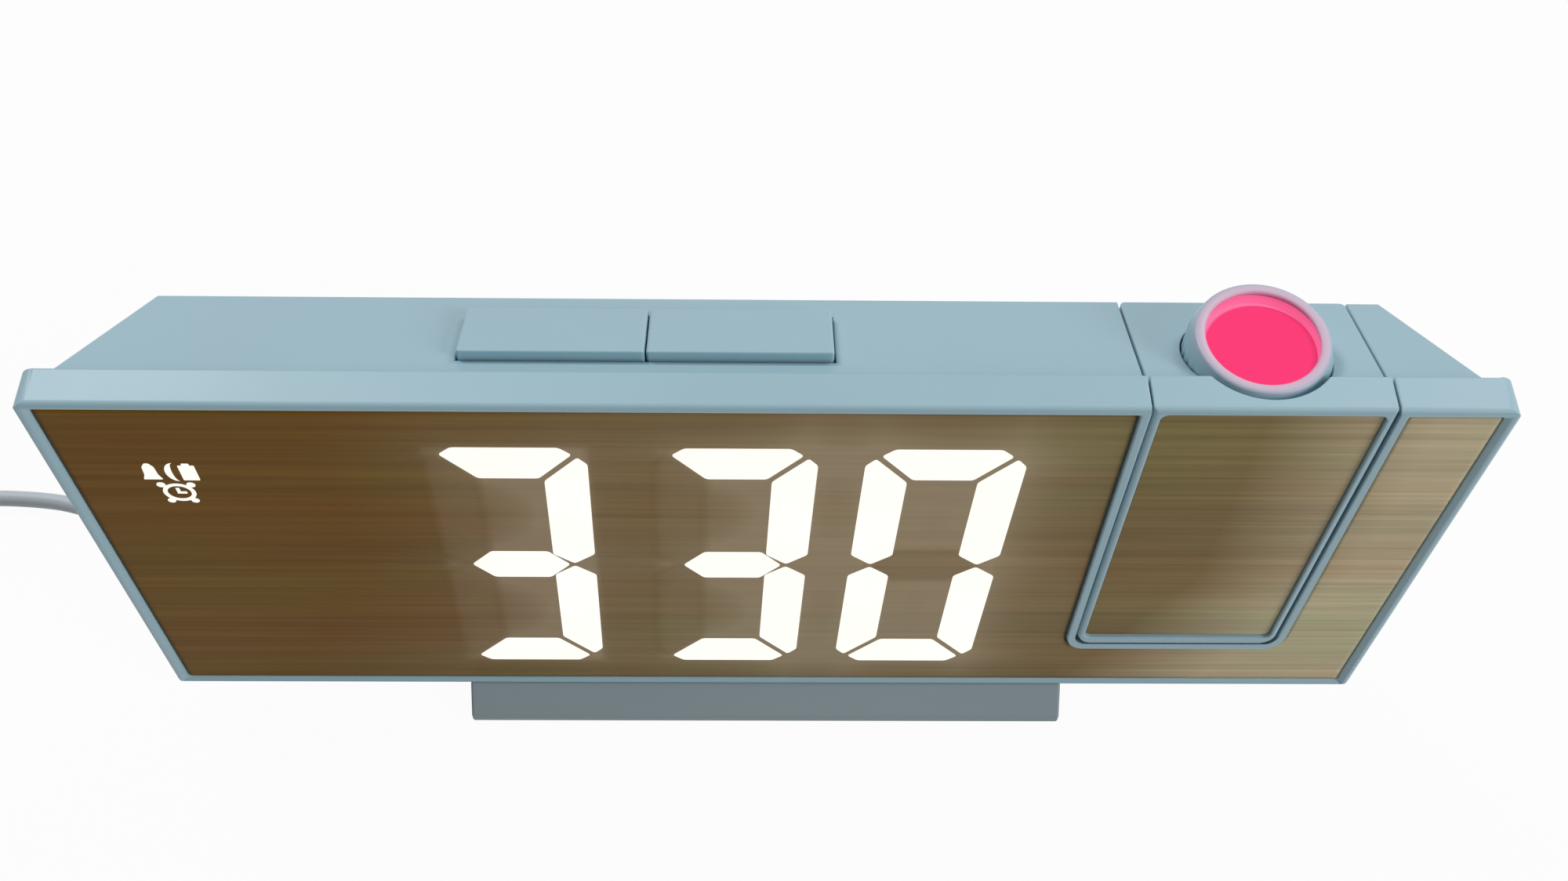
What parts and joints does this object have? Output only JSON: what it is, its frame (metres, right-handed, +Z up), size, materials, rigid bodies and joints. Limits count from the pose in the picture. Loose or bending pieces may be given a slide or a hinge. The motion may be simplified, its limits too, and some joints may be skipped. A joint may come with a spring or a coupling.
{
  "type": "projection alarm clock",
  "caption": "Projection alarm clock with a wood-grain front, large digits, a tilting projector block with a focus ring, a low stand and a power lead.",
  "frame": {"origin": "on the table, at the middle of the stand", "axes": "+X to the right as the clock is read, +Y towards its back, +Z up"},
  "size_m": [0.2898, 0.0781, 0.0865],
  "materials": {
    "shell": "powder-blue matt plastic, very fine texture",
    "stand": "blue-grey matt plastic",
    "wood_film": "wood-grain film, satin",
    "light_film": "frosted light film",
    "white": "white reflector plastic, matt",
    "digit_light": "frosted diffuser, lit warm white where the digits show",
    "board": "green circuit board",
    "black": "black plastic, matt",
    "led": "light-emitting chip",
    "steel": "plated steel",
    "rubber": "soft black rubber",
    "wire": "red wire sleeve",
    "clear": "clear moulded lens",
    "slide": "dark display slide",
    "lens": "clear lens lit hot pink from below",
    "lead": "light grey soft lead sleeve",
    "contact": "plated contact shell"
  },
  "bodies": {
    "clock": {"front_frame": "shell", "wood_panel": "wood_film", "diffuser_film": "light_film", "digit_reflector": "white", "digit_diffusers": "digit_light", "indicator_block": "black", "indicator_diffusers": "digit_light", "display_board": "board", "led_chips": "led", "board_connector": "black", "rear_cover": "shell", "cover_screws": "steel", "main_board": "board", "board_screws": "steel", "rear_switches": "black", "key_board": "board", "top_switches": "black", "buzzer": "black", "battery_holder": "black", "coin_cell": "steel", "battery_door": "shell", "door_screw": "steel", "usb_port": "contact", "power_socket": "black", "stand": "stand", "stand_screws": "steel", "rubber_feet": "rubber", "tilt_washers": "rubber", "power_plug": "lead", "plug_tip": "contact", "plug_sleeve": "lead", "lead": "lead", "lead_coil": "lead", "coil_tie": "black", "lead_end": "lead", "usb_plug": "lead", "usb_plug_shell": "contact"},
    "projector_block": {"block_front": "shell", "block_rear": "shell", "block_panel": "wood_film", "block_screws": "steel", "tilt_clips": "steel", "pivot_wires": "wire", "projector_board": "board", "projector_led": "led", "light_box": "black", "condenser_lens": "clear", "display_slide": "slide", "lens_tube": "black"},
    "focus_ring": {"focus_ring": "shell"},
    "lens_carrier": {"lens_barrel": "lens", "projection_lens": "lens"},
    "snooze_key": {"snooze_key": "shell"},
    "light_key": {"light_key": "shell"},
    "rear_key_1": {"rear_key_1": "shell"},
    "rear_key_2": {"rear_key_2": "shell"},
    "rear_key_3": {"rear_key_3": "shell"},
    "rear_key_4": {"rear_key_4": "shell"},
    "rear_key_5": {"rear_key_5": "shell"}
  },
  "joints": [
    {"name": "block_tilt", "type": "hinge", "parent": "clock", "child": "projector_block", "pos_m": [0.0642, -0.004, 0.0345], "axis": [1, 0, 0], "range_deg": [-90, 90]},
    {"name": "ring_turn", "type": "hinge", "parent": "projector_block", "child": "focus_ring", "pos_m": [0.0642, -0.0047, 0.0815], "axis": [0, 0, 1], "range_deg": [-120, 120]},
    {"name": "lens_travel", "type": "slide", "parent": "projector_block", "child": "lens_carrier", "axis": [0, 0, 1], "range_m": [-0.00082, 0.00082]},
    {"name": "snooze_press", "type": "slide", "parent": "clock", "child": "snooze_key", "axis": [0, 0, -1], "range_m": [0, 0.0008], "stiffness_N_per_m": 600, "springref_m": -0.0004},
    {"name": "light_press", "type": "slide", "parent": "clock", "child": "light_key", "axis": [0, 0, -1], "range_m": [0, 0.0008], "stiffness_N_per_m": 600, "springref_m": -0.0004},
    {"name": "rear_key_1_press", "type": "slide", "parent": "clock", "child": "rear_key_1", "axis": [0, -1, 0], "range_m": [0, 0.0008], "stiffness_N_per_m": 600, "springref_m": -0.0004},
    {"name": "rear_key_2_press", "type": "slide", "parent": "clock", "child": "rear_key_2", "axis": [0, -1, 0], "range_m": [0, 0.0008], "stiffness_N_per_m": 600, "springref_m": -0.0004},
    {"name": "rear_key_3_press", "type": "slide", "parent": "clock", "child": "rear_key_3", "axis": [0, -1, 0], "range_m": [0, 0.0008], "stiffness_N_per_m": 600, "springref_m": -0.0004},
    {"name": "rear_key_4_press", "type": "slide", "parent": "clock", "child": "rear_key_4", "axis": [0, -1, 0], "range_m": [0, 0.0008], "stiffness_N_per_m": 600, "springref_m": -0.0004},
    {"name": "rear_key_5_press", "type": "slide", "parent": "clock", "child": "rear_key_5", "axis": [0, -1, 0], "range_m": [0, 0.0008], "stiffness_N_per_m": 600, "springref_m": -0.0004}
  ],
  "couplings": [
    {"joint": "lens_travel", "follows": "ring_turn", "m_per_rad": 0.00038197}
  ]
}
